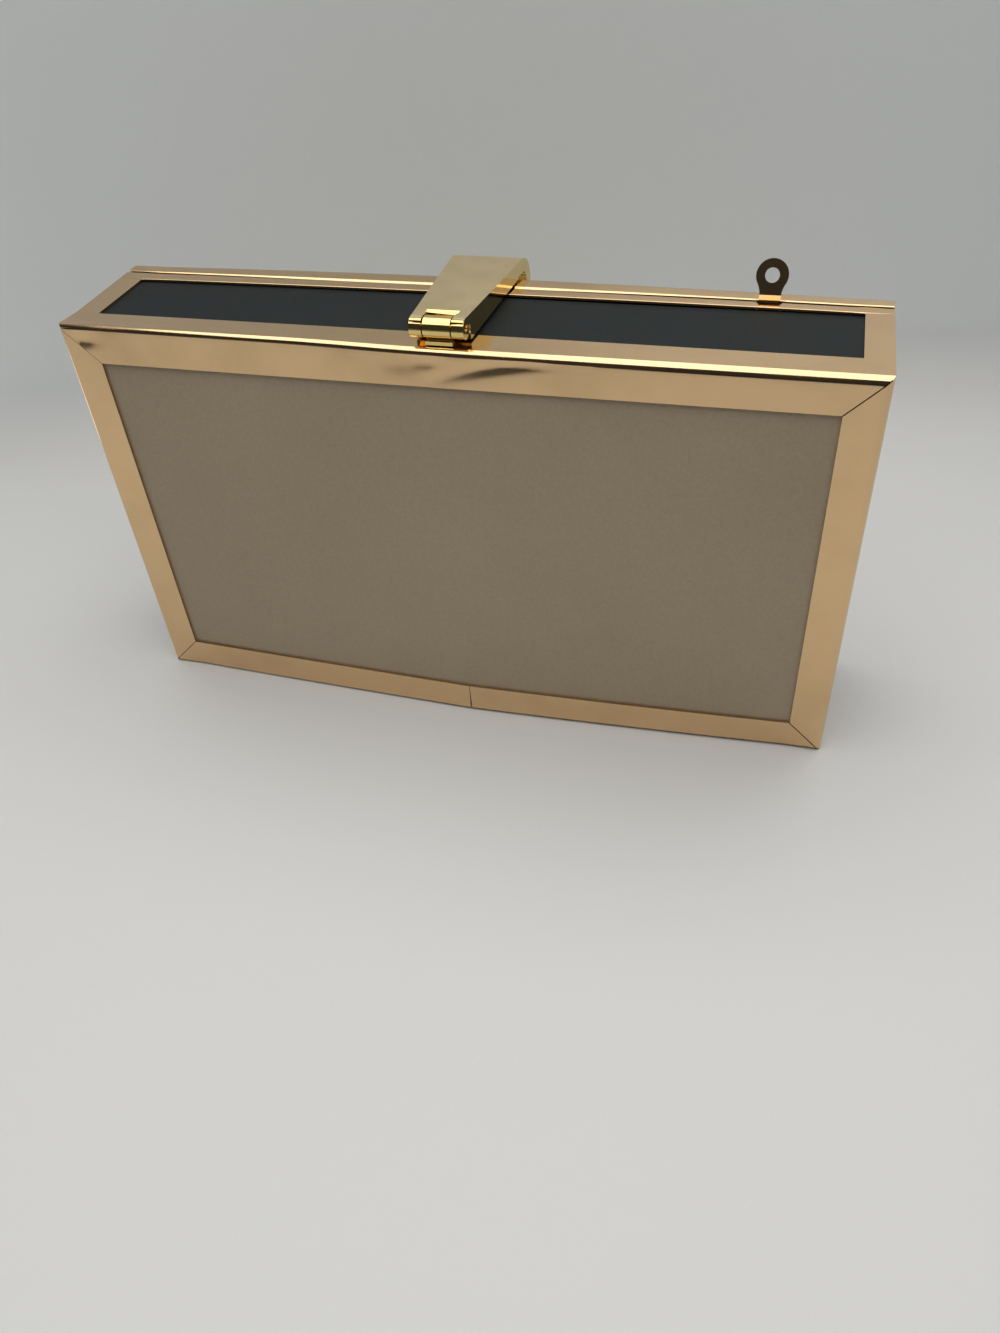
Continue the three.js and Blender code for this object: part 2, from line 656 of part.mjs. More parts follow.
const lidGroup = new THREE.Group();
lidGroup.add(
  meshOf("lid_frame", lidFrame(), GILT),
  meshOf("back_panel", lidBoard(), TAUPE_LEATHER),
  meshOf("lid_hinge_leaf", lidHingeLeaf(), GILT),
);

const claspGroup = new THREE.Group();
claspGroup.add(meshOf("clasp_flap", claspFlap(), SATIN_GILT), meshOf("clasp_pin", claspPin(), GILT));

bag.add(caseGroup, lidGroup, claspGroup);

export default bag;
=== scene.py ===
# %% [markdown]
# # A hard box clutch bag
# The bag is a deep case and a shallow lid. Each is a strip of gilt sheet metal folded into a frame,
# with leather-covered boards behind its windows. The moving frame is loaded first, and every new
# piece is then made in the same place and at the same size, in metres.

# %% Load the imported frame
import math

import bmesh
import bpy
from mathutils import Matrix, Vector, noise


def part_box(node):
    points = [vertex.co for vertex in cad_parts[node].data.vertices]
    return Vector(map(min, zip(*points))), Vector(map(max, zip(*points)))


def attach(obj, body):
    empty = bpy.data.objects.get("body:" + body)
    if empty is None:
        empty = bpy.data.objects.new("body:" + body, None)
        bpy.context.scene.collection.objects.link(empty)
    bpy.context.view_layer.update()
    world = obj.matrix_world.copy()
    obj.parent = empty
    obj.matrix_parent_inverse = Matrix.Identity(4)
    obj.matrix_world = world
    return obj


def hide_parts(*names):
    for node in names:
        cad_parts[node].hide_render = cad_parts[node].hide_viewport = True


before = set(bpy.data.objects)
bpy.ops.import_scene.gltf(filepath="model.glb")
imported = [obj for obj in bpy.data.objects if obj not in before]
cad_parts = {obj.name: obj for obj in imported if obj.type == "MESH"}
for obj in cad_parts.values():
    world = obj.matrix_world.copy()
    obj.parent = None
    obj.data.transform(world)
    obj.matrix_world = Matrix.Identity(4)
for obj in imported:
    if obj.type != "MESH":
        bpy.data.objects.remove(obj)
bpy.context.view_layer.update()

# %% [markdown]
# ## Sizes
# Width and height come from the loaded frame. The depth is the bag's own, because the frame's box
# also holds the clasp, which stands out behind. Sizes are given in millimetres and turned to metres
# once, so that each line below reads like a drawing. Y is 0 half way through the bag, and a bow is
# how far a sheet's middle stands out from a straight line between its ends.

# %% Sizes of the case, the lid and the sheet
MM = 0.001
case_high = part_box("case_frame")[1]
HALF_WIDTH = case_high.x
HEIGHT = case_high.z
DEPTH = 39 * MM
FRONT = -DEPTH / 2
LID_PROUD = 0.6 * MM
LID_DEPTH = 3.7 * MM
BACK = DEPTH / 2 + LID_PROUD
SEAM = DEPTH / 2 - LID_DEPTH
SEAM_GAP = 0.4 * MM
SHEET = 0.6 * MM
CLEARANCE = 0.3 * MM
FLANGE = 9.3 * MM
RIM_LIP = 2.2 * MM
EDGE_RADIUS = 1.6 * MM
RIM_RADIUS = 0.7 * MM
TOP_BORDER = 8.7 * MM
WINDOW_FRONT = FRONT + TOP_BORDER
WINDOW_BACK = SEAM - 4 * MM
WINDOW_END = 6.5 * MM
CASE_BOW = 3.2 * MM
SEAM_BOW = 1 * MM
LID_BOW = 2.2 * MM
BOW_REACH = HALF_WIDTH - FLANGE
BOW_STEP = 5 * MM
print("bag in mm:", round(2 * HALF_WIDTH / MM, 1), round(HEIGHT / MM, 1))

# %% [markdown]
# ## Working helpers
# Blender's operators act on what is selected, so each helper first makes one object the only
# selected and active one. Faces and edges are picked in code, by place or by the way they face.

# %% Add a piece and fix its place in its mesh
def add(primitive, **settings):
    bpy.ops.object.select_all(action="DESELECT")
    primitive(**settings)
    return bpy.context.object


def take(piece):
    bpy.ops.object.select_all(action="DESELECT")
    piece.select_set(True)
    bpy.context.view_layer.objects.active = piece
    return piece


def settle(piece, name=None):
    take(piece)
    bpy.ops.object.transform_apply(location=True, rotation=True, scale=True)
    if name:
        piece.name = piece.data.name = name
    return piece


def add_block(name, low, high):
    low, high = Vector(low), Vector(high)
    block = add(bpy.ops.mesh.primitive_cube_add, size=1, location=(low + high) / 2)
    block.scale = high - low
    return settle(block, name)


def add_bar(name, radius, x_from, x_to, y, z, sides=48):
    bar = add(
        bpy.ops.mesh.primitive_cylinder_add, vertices=sides, radius=radius, depth=x_to - x_from,
        location=((x_from + x_to) / 2, y, z), rotation=(0, math.pi / 2, 0),
    )
    return settle(bar, name)


# %% Open a mesh and pick, slice or round its parts
def open_mesh(piece):
    take(piece)
    bpy.ops.object.mode_set(mode="EDIT")


def close_mesh():
    bpy.ops.object.mode_set(mode="OBJECT")


def pick(piece, kind, wanted):
    bpy.ops.mesh.select_mode(type=kind)
    bpy.ops.mesh.select_all(action="DESELECT")
    mesh = bmesh.from_edit_mesh(piece.data)
    mesh.normal_update()
    parts = {"VERT": mesh.verts, "EDGE": mesh.edges, "FACE": mesh.faces}[kind]
    chosen = [part for part in parts if wanted(part)]
    for part in chosen:
        part.select_set(True)
    bmesh.update_edit_mesh(piece.data)
    return len(chosen)


def slice_at(piece, axis, place, wanted=lambda face: True):
    pick(piece, "FACE", wanted)
    point, normal = Vector(), Vector()
    point[axis] = place
    normal[axis] = 1
    bpy.ops.mesh.bisect(plane_co=point, plane_no=normal)


def near(value, place, reach=0.01 * MM):
    return abs(value - place) < reach


def round_edges(piece, radius, steps, wanted):
    pick(piece, "EDGE", lambda edge: all(wanted(vertex.co) for vertex in edge.verts))
    bpy.ops.mesh.bevel(offset=radius, segments=steps, profile=0.5, affect="EDGES")


# %% Apply modifiers, and dress a finished piece
def finish_with(piece, kind, **settings):
    take(piece)
    modifier = piece.modifiers.new(kind.title(), kind)
    for name, value in settings.items():
        setattr(modifier, name, value)
    bpy.ops.object.modifier_apply(modifier=modifier.name)
    return piece


def combine(piece, operation, *tools):
    for tool in tools:
        finish_with(piece, "BOOLEAN", operation=operation, object=tool, solver="EXACT")
        bpy.data.objects.remove(tool)
    return piece


def ease_edges(piece, width, angle=50, steps=3):
    return finish_with(
        piece, "BEVEL", width=width, segments=steps, limit_method="ANGLE",
        angle_limit=math.radians(angle), harden_normals=False,
    )


def smooth(piece, angle=35):
    take(piece)
    bpy.ops.object.shade_smooth_by_angle(angle=math.radians(angle))
    return finish_with(piece, "WEIGHTED_NORMAL", keep_sharp=True)


def dress(piece, body, slot, material, *nodes):
    piece.data.materials.clear()
    piece.data.materials.append(material)
    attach(piece, body)
    if nodes:
        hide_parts(*nodes)
    triangles = sum(len(face.vertices) - 2 for face in piece.data.polygons)
    print(piece.name, "has", triangles, "triangles")
    return piece


# %% [markdown]
# ## The camera
# The camera stands where the photograph was taken from: in front of the bag, a little to its right
# and above it, looking down steeply, so the verticals lean together. The lens is a wide phone lens.

# %% Camera
CAMERA_PLACE = (79.15 * MM, FRONT - 214.43 * MM, 219.36 * MM)
CAMERA_TURN = [math.radians(angle) for angle in (47.89, 3.54, 14.96)]
camera = add(bpy.ops.object.camera_add, location=CAMERA_PLACE, rotation=CAMERA_TURN)
camera.name = "camera"
camera.data.lens = 28.51
camera.data.sensor_width = 36
camera.data.clip_start = 0.01
bpy.context.scene.camera = camera
bpy.context.scene.view_settings.view_transform = "Standard"
print("camera in mm:", [round(v / MM) for v in camera.location])

# %% [markdown]
# ## Finishes
# Every finish is built from nodes that read Object coordinates, so a pattern has one real scale on
# all pieces. A texture's scale is the number of its cells in a metre, worked out from a size in mm.
# Relief that is too fine to model is drawn by bump nodes, whose distance is its real height.

# %% Node helpers
def linear(hex_colour):
    shares = [int(hex_colour[i:i + 2], 16) / 255 for i in (1, 3, 5)]
    return [s / 12.92 if s <= 0.04045 else ((s + 0.055) / 1.055) ** 2.4 for s in shares] + [1]


def per_metre(size_in_mm):
    return 1 / (size_in_mm * MM)


def start_material(name):
    material = bpy.data.materials.new(name)
    material.use_nodes = True
    material.node_tree.nodes.clear()
    return material, material.node_tree


def add_node(tree, kind, inputs=None, **settings):
    node = tree.nodes.new(kind)
    for name, value in settings.items():
        setattr(node, name, value)
    for name, value in (inputs or {}).items():
        if isinstance(value, bpy.types.NodeSocket):
            tree.links.new(value, node.inputs[name])
        else:
            node.inputs[name].default_value = value
    return node


def ramp(tree, value, start, end, most=1.0):
    node = add_node(tree, "ShaderNodeMapRange", {
        "Value": value, "From Min": start, "From Max": end, "To Max": most,
    }, interpolation_type="SMOOTHSTEP")
    return node.outputs["Result"]


def cloud(tree, place, size_in_mm, detail, **more):
    inputs = {"Vector": place, "Scale": per_metre(size_in_mm), "Detail": detail, **more}
    return add_node(tree, "ShaderNodeTexNoise", inputs)


def relief(tree, height, distance, over=None, invert=False):
    inputs = {"Height": height, "Strength": 1, "Distance": distance}
    if over is not None:
        inputs["Normal"] = over
    return add_node(tree, "ShaderNodeBump", inputs, invert=invert).outputs["Normal"]


def blend(tree, share, first, second, **settings):
    inputs = {"Factor": share, "A": first, "B": second}
    return add_node(tree, "ShaderNodeMix", inputs, **settings).outputs["Result"]


def finish_material(material, inputs):
    shader = add_node(material.node_tree, "ShaderNodeBsdfPrincipled", inputs)
    surface = {"Surface": shader.outputs["BSDF"]}
    add_node(material.node_tree, "ShaderNodeOutputMaterial", surface)
    print("finish:", material.name)
    return material


# %% [markdown]
# ### Gilt sheet
# The frames are steel sheet with a polished light rose-gold plating. It is a mirror with a slight
# haze, so what it reflects gives it most of its colour. Handling leaves smudges, which show as small
# changes of roughness, and rolled sheet is never quite flat, which bends long reflections a little.
# The clasp's skirts and knuckles are yellower, and the tab's up-facing bend is painted a darker
# brown gilt, as a painted reflection.

# %% Polished plating
def polished_plate(name, clean, worn, haze, wave):
    material, tree = start_material(name)
    place = add_node(tree, "ShaderNodeTexCoord").outputs["Object"]
    smudge = cloud(tree, place, 16, 3, Roughness=0.5).outputs["Fac"]
    stain = add_node(tree, "ShaderNodeMapRange", {
        "Value": smudge, "From Min": 0.45, "From Max": 0.8, "To Max": 0.22,
    }).outputs["Result"]
    gloss = add_node(tree, "ShaderNodeMapRange", {
        "Value": smudge, "From Min": 0.35, "From Max": 0.7, "To Min": haze, "To Max": haze + 0.1,
    }).outputs["Result"]
    waves = relief(tree, cloud(tree, place, 14, 1).outputs["Fac"], wave)
    grit = cloud(tree, place, 0.5, 3).outputs["Fac"]
    return finish_material(material, {
        "Base Color": blend(tree, stain, linear(clean), linear(worn), data_type="RGBA"),
        "Metallic": 1, "Roughness": gloss, "Normal": relief(tree, grit, 0.0015 * MM, waves),
    })


rose_gilt = polished_plate("rose_gilt_plate", "#DDBC90", "#B08E64", 0.1, 0.03 * MM)
yellow_gilt = polished_plate("yellow_gilt_plate", "#E8CC86", "#C29C55", 0.08, 0.01 * MM)
# The darker brown gilt for the tab's up-facing bend is a painted reflection, not its own colour.
painted_reflection_gilt = polished_plate("gilt_bend_painted_reflection", "#C0935A", "#B07F45", 0.2, 0.01 * MM)

# %% [markdown]
# ### Satin plate
# The clasp's top was blasted before it was plated, so it scatters light evenly and reflects nothing
# clearly. A fine grain of about a third of a millimetre stands for the blasting, coarser than real.

# %% Satin plating
def satin_plate(name, pale, deep):
    material, tree = start_material(name)
    place = add_node(tree, "ShaderNodeTexCoord").outputs["Object"]
    smudge = cloud(tree, place, 7, 3).outputs["Fac"]
    gloss = add_node(tree, "ShaderNodeMapRange", {
        "Value": smudge, "To Min": 0.38, "To Max": 0.5,
    }).outputs["Result"]
    blasting = cloud(tree, place, 0.3, 2).outputs["Fac"]
    return finish_material(material, {
        "Base Color": blend(tree, smudge, linear(pale), linear(deep), data_type="RGBA"),
        "Metallic": 1, "Roughness": gloss, "Normal": relief(tree, blasting, 0.006 * MM),
    })


satin_gilt = satin_plate("satin_gilt_plate", "#CAB88E", "#D6C49C")

# %% [markdown]
# ### Leather
# The panels are covered in fine-grained coated leather. Its grain is small rounded cells, a little
# under a millimetre across, that run together into shallow creases. The coating is matt, and the
# colour shifts slightly from place to place. The black insets have a finer and flatter grain.

# %% Grained leather
def grained_leather(name, pale, deep, cell, height, rough, shine):
    material, tree = start_material(name)
    place = add_node(tree, "ShaderNodeTexCoord").outputs["Object"]
    drift = cloud(tree, place, 45, 3).outputs["Fac"]
    flow = cloud(tree, place, 3.5, 4, Roughness=0.55, Distortion=1.2)
    bent = blend(tree, 0.0025, place, flow.outputs["Color"], data_type="VECTOR")
    pebbles = add_node(tree, "ShaderNodeTexVoronoi", {
        "Vector": bent, "Scale": per_metre(cell), "Smoothness": 0.6,
    }, feature="SMOOTH_F1").outputs["Distance"]
    creases = cloud(tree, bent, 1.6 * cell, 5, Roughness=0.7).outputs["Fac"]
    both = blend(tree, 0.5, pebbles, creases, data_type="FLOAT")
    grain = relief(tree, both, height, invert=True)
    tint = blend(tree, drift, linear(pale), linear(deep), data_type="RGBA")
    # The grooves between the pebbles are painted a little darker, as painted shade.
    groove_shade = add_node(tree, "ShaderNodeMapRange", {
        "Value": pebbles, "From Min": 0.2, "From Max": 0.7, "To Min": 1, "To Max": 0.94,
    }).outputs["Result"]
    gloss = add_node(tree, "ShaderNodeMapRange", {
        "Value": creases, "To Min": rough - 0.06, "To Max": rough + 0.1,
    }).outputs["Result"]
    return finish_material(material, {
        "Base Color": blend(tree, 1, tint, groove_shade, data_type="RGBA", blend_type="MULTIPLY"),
        "Roughness": gloss, "Specular IOR Level": shine,
        "Normal": relief(tree, flow.outputs["Fac"], 2 * height, grain),
    })


taupe_leather = grained_leather(
    "taupe_grained_leather", "#B9A78E", "#AC9B80", 0.8, 0.06 * MM, 0.5, 0.4)
black_leather = grained_leather(
    "black_smooth_leather", "#191E1E", "#161B1C", 0.6, 0.015 * MM, 0.6, 0.2)

# %% [markdown]
# ## The folded frames
# On the real bag one strip of thin sheet is stamped with its windows, folded to an L and bent
# round four corners. Its flange shows a mitre at each corner and one butt joint in the bottom strip.
# Here a box is made into such a strip: windows are inset and deleted, the folds are bevelled, and
# Solidify gives the sheet its thickness. The sprung sheet isn't flat, so its middle is moved out.

# %% How far the sprung sheet bows
def bow(x, roundness):
    share = min(1, abs(x) / BOW_REACH)
    return (1 - share) * (1 + roundness * share)


def case_bulge(x, z):
    return CASE_BOW * bow(x, 0.15 if x < 0 else 0.5) * (1 - z / HEIGHT)


def seam_bulge(x, z):
    return SEAM_BOW * bow(x, 1) * z / HEIGHT


def lid_bulge(x, z):
    return LID_BOW * bow(x, 1) * z / HEIGHT


def case_sprung(place):
    share = min(1, max(0, (place.y - FRONT) / (SEAM - FRONT)))
    return -case_bulge(place.x, place.z) * (1 - share) + seam_bulge(place.x, place.z) * share


def lid_sprung(place):
    share = min(1, max(0, (place.y - SEAM) / (BACK - SEAM)))
    return lid_bulge(place.x, place.z) * share + seam_bulge(place.x, place.z) * (1 - share)


def spring(piece, sprung):
    for vertex in piece.data.vertices:
        vertex.co.y += sprung(vertex.co)
    return piece


print("bows in mm:", [round(bulge(0, z) / MM, 1) for bulge, z in (
    (case_bulge, 0), (seam_bulge, HEIGHT), (lid_bulge, HEIGHT))])

# %% Fold a strip of sheet into a frame between its face and its rim
def on_outline(place):
    return near(abs(place.x), HALF_WIDTH) or near(place.z, 0) or near(place.z, HEIGHT)


def folded_frame(name, face_y, rim_y):
    low = (-HALF_WIDTH, min(face_y, rim_y), 0)
    piece = add_block(name, low, (HALF_WIDTH, max(face_y, rim_y), HEIGHT))
    open_mesh(piece)
    for y, border in ((face_y, FLANGE), (rim_y, RIM_LIP)):
        pick(piece, "FACE", lambda face: near(face.calc_center_median().y, y))
        bpy.ops.mesh.inset(thickness=border, use_even_offset=True)
        bpy.ops.mesh.delete(type="FACE")
    for y, radius, steps in ((face_y, EDGE_RADIUS, 8), (rim_y, RIM_RADIUS, 6)):
        round_edges(piece, radius, steps, lambda place: near(place.y, y) and on_outline(place))
    stations = math.floor(BOW_REACH / BOW_STEP)
    for step in range(-stations, stations + 1):
        slice_at(piece, 0, step * BOW_STEP)
    close_mesh()
    return piece


case_frame = folded_frame("case_frame_sheet", FRONT, SEAM - SEAM_GAP / 2)
lid_frame = folded_frame("lid_frame_sheet", BACK, SEAM + SEAM_GAP / 2)
print("strips:", len(case_frame.data.polygons), "and", len(lid_frame.data.polygons), "faces")

# %% Stamp the windows of the case's top and side walls
open_mesh(case_frame)
for across in (-1, 1):
    slice_at(case_frame, 0, across * (HALF_WIDTH - WINDOW_END), lambda face: face.normal.z > 0.9)
for deep in (WINDOW_FRONT, WINDOW_BACK):
    slice_at(case_frame, 1, deep, lambda face: face.normal.z > 0.9 or abs(face.normal.x) > 0.9)
for high in (WINDOW_END, HEIGHT - WINDOW_END):
    slice_at(case_frame, 2, high, lambda face: abs(face.normal.x) > 0.9)


def in_window(face):
    middle = face.calc_center_median()
    if not WINDOW_FRONT < middle.y < WINDOW_BACK:
        return False
    if face.normal.z > 0.9:
        return abs(middle.x) < HALF_WIDTH - WINDOW_END
    return abs(face.normal.x) > 0.9 and WINDOW_END < middle.z < HEIGHT - WINDOW_END


print("window faces:", pick(case_frame, "FACE", in_window))
bpy.ops.mesh.delete(type="FACE")
close_mesh()

# %% [markdown]
# The front flange took a knock below the clasp and another beside the left mitre. Its top strip is
# cut finer, so that shallow dents can be drawn in it: only real slopes turn what a mirror shows. A
# dent is a product of two humps, one along the strip and one down it, with their middle and reach
# in millimetres. The depths are in millimetres too. None may move the mitre or the fold.

# %% Knocks in the front flange
def on_top_flange(face):
    return face.normal.y < -0.9 and face.calc_center_median().z > HEIGHT - FLANGE


BANDS = 8
open_mesh(case_frame)
for band in range(1, BANDS):
    down = EDGE_RADIUS + (FLANGE - EDGE_RADIUS) * band / BANDS
    slice_at(case_frame, 2, HEIGHT - down, on_top_flange)
for step in range(-39, 40):
    slice_at(case_frame, 0, step * 2.5 * MM + 0.01 * MM, on_top_flange)
close_mesh()


def hump(value, middle, reach):
    share = (value - middle) / reach
    return math.exp(-share * share)


CREASE_DEPTH, DIP_DEPTH, DENT_DEPTH = 0.3, 0.22, 0.45


def knocks(place):
    if place.z < HEIGHT - FLANGE - CLEARANCE or place.y > FRONT + EDGE_RADIUS:
        return 0
    x, down = place.x / MM, (HEIGHT - place.z) / MM
    fade = min(1, max(0, (down - 1.2) / 1.4))
    crease_down = 1.2 + 6.1 * ((33 - x) / 34) ** 2
    crease = hump(down, crease_down, 1.3) * hump(x, 14, 15)
    dips = hump(x, -3, 3) * hump(down, 3.2, 1.6) + 0.7 * hump(x, -10, 3.5) * hump(down, 4.2, 2)
    above_mitre = min(1, max(0, HALF_WIDTH / MM - abs(x) - down - 0.1))
    dent = hump(x, -92.8, 2.2) * hump(down, 3.6, 1.2) * above_mitre
    return (CREASE_DEPTH * crease + DIP_DEPTH * dips + DENT_DEPTH * dent) * fade * MM


spring(case_frame, knocks)
print("deepest knock in mm:", round(max(
    knocks(vertex.co) for vertex in case_frame.data.vertices) / MM, 2))

# %% [markdown]
# The folds aren't equally sharp along the bag. The front fold is rounder on the right, and the
# fold along the lid's seam is almost sharp at both ends. So each fold's outer skin is drawn in or
# let out, by a share of its radius that may change along X.

# %% Thickness and the sharpness of the folds
WINDOW_EASE = 0.2 * MM
SHEET_EASE = 0.04 * MM
CASE_RIM_SHARE, LID_BACK_SHARE = 0.4, 0.35


def refold(piece, face_y, radius, share_at):
    moved = 0
    for vertex in piece.data.vertices:
        x, y, z = vertex.co
        inward, deep = min(HALF_WIDTH - abs(x), z, HEIGHT - z), abs(y - face_y)
        on_arc = near(math.hypot(radius - inward, radius - deep), radius)
        if max(inward, deep) > radius or not on_arc:
            continue
        share = share_at(x / MM)
        if near(HALF_WIDTH - abs(x), inward):
            vertex.co.x = math.copysign(HALF_WIDTH - inward * share, x)
        if near(HEIGHT - z, inward):
            vertex.co.z = HEIGHT - inward * share
        elif near(z, inward):
            vertex.co.z = inward * share
        vertex.co.y = face_y + (y - face_y) * share
        moved += 1
    print(piece.name, "fold vertices moved:", moved)


def on_rear_window_edge(place):
    return near(place.y, WINDOW_BACK) and near(place.z, HEIGHT)


finish_with(case_frame, "SOLIDIFY", thickness=SHEET, offset=-1, use_even_offset=True)
finish_with(lid_frame, "SOLIDIFY", thickness=SHEET, offset=-1, use_even_offset=True)
open_mesh(case_frame)
round_edges(case_frame, WINDOW_EASE, 3, on_rear_window_edge)
close_mesh()
for strip in (case_frame, lid_frame):
    ease_edges(strip, SHEET_EASE, angle=60, steps=2)
refold(case_frame, FRONT, EDGE_RADIUS, lambda x: 0.96 + 0.24 * math.tanh((x + 5) / 60))
refold(case_frame, SEAM - SEAM_GAP / 2, RIM_RADIUS, lambda x: CASE_RIM_SHARE)
refold(lid_frame, SEAM + SEAM_GAP / 2, RIM_RADIUS, lambda x: 0.1 + 0.85 * hump(x, -15, 50))
refold(lid_frame, BACK, EDGE_RADIUS, lambda x: LID_BACK_SHARE)

# %% [markdown]
# The top sheet isn't quite true either. The rear edge of its window runs a little askew, and its
# front left part stands up by half a millimetre. After that the bows are put in.

# %% Uneven top sheet, and the bows
WINDOW_SLANT = 0.005
RAISED = 0.55 * MM


def soft_step(value, start, end):
    share = min(1, max(0, (value - start) / (end - start)))
    return share * share * (3 - 2 * share)


for vertex in case_frame.data.vertices:
    x, y, z = vertex.co / MM
    if z > HEIGHT / MM - 1 and near(vertex.co.y, WINDOW_BACK, 0.25 * MM):
        vertex.co.y += WINDOW_SLANT * vertex.co.x
    left, forward = soft_step(x, 0, -40), soft_step(y, WINDOW_FRONT / MM, FRONT / MM)
    vertex.co.z += RAISED * left * forward * soft_step(HEIGHT / MM - z, 7, 0)
spring(case_frame, case_sprung)
spring(lid_frame, lid_sprung)
tallest = max(vertex.co.z for vertex in case_frame.data.vertices)
print("top sheet in mm:", round(tallest / MM, 2))

# %% [markdown]
# Thin blocks cut the slits at the mitres, the butt joint, the notch for the strap tab and room for
# the hinge. A slit starts just inside its corner. The slits differ in width, because some corners
# closed better than others, and the butt joint is a little wider at its lower end.

# %% Slits and notches
SLIT_START = 0.83 * MM
SLIT_END = (FLANGE - 0.8 * MM) * math.sqrt(2) + 2 * MM
SLIT_DEEP = 1.2 * SHEET


def mitre_slit(across, high, face_y, width):
    slit = add_block(
        "slit", (SLIT_START, -SLIT_DEEP, -width / 2), (SLIT_END, SLIT_DEEP, width / 2))
    slit.rotation_euler.y = math.atan2(1 if high else -1, -across)
    slit.location = (across * HALF_WIDTH, face_y, HEIGHT if high else 0)
    return settle(slit)


HINGE_REACH = 1.5 * MM
HINGE_Z = 1.5 * MM


def hinge_relief():
    return add_block(
        "relief", (-2 * HALF_WIDTH, SEAM - HINGE_REACH, -HINGE_REACH),
        (2 * HALF_WIDTH, SEAM + HINGE_REACH, HINGE_Z + HINGE_REACH),
    )


def butt_gap():
    low, high = (-0.25 * MM, FRONT - 5 * MM, -MM), (0.25 * MM, SEAM + 5 * MM, FLANGE + MM)
    gap = add_block("butt", low, high)
    for vertex in gap.data.vertices:
        if vertex.co.z > 0:
            vertex.co.x = -0.1 * MM + 0.2 * vertex.co.x
    return gap


TAB_X = 71.65 * MM
TAB_BACK = SEAM - SEAM_GAP / 2 + seam_bulge(TAB_X, HEIGHT) - 0.2 * MM
TAB_SHEET = 1 * MM
NOTCH_HALF = 2.9 * MM
combine(case_frame, "DIFFERENCE", hinge_relief(), add_block(
    "notch", (TAB_X - NOTCH_HALF, TAB_BACK - TAB_SHEET - CLEARANCE, HEIGHT - 5 * MM),
    (TAB_X + NOTCH_HALF, TAB_BACK + 5 * MM, HEIGHT + 5 * MM),
), butt_gap())
combine(lid_frame, "DIFFERENCE", hinge_relief())
CASE_SLITS = [(-1, True, 0.1), (1, True, 0.3), (-1, False, 0.2), (1, False, 0.3)]
LID_SLIT = 0.15 * MM
for across, high, width in CASE_SLITS:
    combine(case_frame, "DIFFERENCE", mitre_slit(across, high, FRONT, width * MM))
    combine(lid_frame, "DIFFERENCE", mitre_slit(across, high, BACK, LID_SLIT))
smooth(case_frame)
smooth(lid_frame)
dress(case_frame, "case", "gilt", rose_gilt, "case_frame")
dress(lid_frame, "lid", "gilt", rose_gilt, "lid_frame")

# %% [markdown]
# ## The leather-covered boards
# Each panel is stiff board with a thin foam and leather pulled round it, held behind the flange.
# Under the flange it is pressed flat, and inside the window the foam lifts it by about half a
# millimetre. A cloth simulation with a little pressure gives the two large panels that swell.

# %% Swell a board in its window
BOARD_MARGIN = 2 * MM
BEHIND_SHEET = SHEET + CLEARANCE
FRONT_BOARD = 2.4 * MM
LID_BOARD = 2.1 * MM


def in_front_window(place, margin):
    inside = abs(place.x) < HALF_WIDTH - FLANGE + margin
    return inside and FLANGE - margin < place.z < HEIGHT - FLANGE + margin


def padded_board(name, face_y, outwards, z_low, thickness, swell, bulge):
    half, z_high = HALF_WIDTH - BOARD_MARGIN, HEIGHT - BOARD_MARGIN
    board = add(
        bpy.ops.mesh.primitive_grid_add, x_subdivisions=98, y_subdivisions=54, size=1,
        location=(0, face_y, (z_low + z_high) / 2), rotation=(math.pi / 2, 0, 0),
    )
    board.scale = (2 * half, z_high - z_low, 1)
    settle(board, name)
    open_mesh(board)
    bpy.ops.mesh.select_all(action="SELECT")
    inwards = (0, -outwards * thickness, 0)
    bpy.ops.mesh.extrude_region_move(TRANSFORM_OT_translate={"value": inwards})
    bpy.ops.mesh.select_all(action="SELECT")
    bpy.ops.mesh.normals_make_consistent(inside=False)
    close_mesh()
    held = board.vertex_groups.new(name="held")
    for vertex in board.data.vertices:
        free = near(vertex.co.y, face_y) and in_front_window(vertex.co, -0.5 * MM)
        held.add([vertex.index], 0 if free else 1, "REPLACE")
    flat = [vertex.co.copy() for vertex in board.data.vertices]
    cloth = take(board).modifiers.new("Cloth", "CLOTH")
    cloth.settings.vertex_group_mass = held.name
    cloth.settings.mass = 0.2
    cloth.settings.quality = 5
    cloth.settings.use_pressure = True
    cloth.settings.uniform_pressure_force = 4
    cloth.settings.effector_weights.gravity = 0
    for step in range(1, 16):
        bpy.context.scene.frame_set(step)
    bpy.ops.object.modifier_apply(modifier=cloth.name)
    bpy.context.scene.frame_set(1)
    for vertex, start in zip(board.data.vertices, flat):
        if not near(start.y, face_y) or not in_front_window(start, 0):
            vertex.co = start
            continue
        lift = (vertex.co.y - start.y) * outwards
        soft = 0.08 * swell * noise.noise(start * per_metre(22))
        lift = swell * (1 - math.exp(-max(0, lift) / swell))
        vertex.co = start + Vector((0, outwards * (lift + soft * lift / swell), 0))
    for vertex in board.data.vertices:
        vertex.co.y += bulge(vertex.co.x, vertex.co.z)
    return board


front_board = padded_board(
    "front_leather_board", FRONT + BEHIND_SHEET, -1, BOARD_MARGIN, FRONT_BOARD, 0.6 * MM,
    lambda x, z: -case_bulge(x, z),
)
back_board = padded_board(
    "back_leather_board", BACK - BEHIND_SHEET, 1, 3.3 * MM, LID_BOARD, 0.5 * MM, lid_bulge,
)
for board in (front_board, back_board):
    finish_with(board, "SUBSURF", levels=1, render_levels=1)
    smooth(board, 60)
dress(front_board, "case", "taupe_leather", taupe_leather, "front_panel")
dress(back_board, "lid", "taupe_leather", taupe_leather, "back_panel")

# %% [markdown]
# The black insets in the top and side walls are small stiff boards. One inset operator after
# another lifts the middle of each by a fraction of a millimetre, which gives it a padded edge.

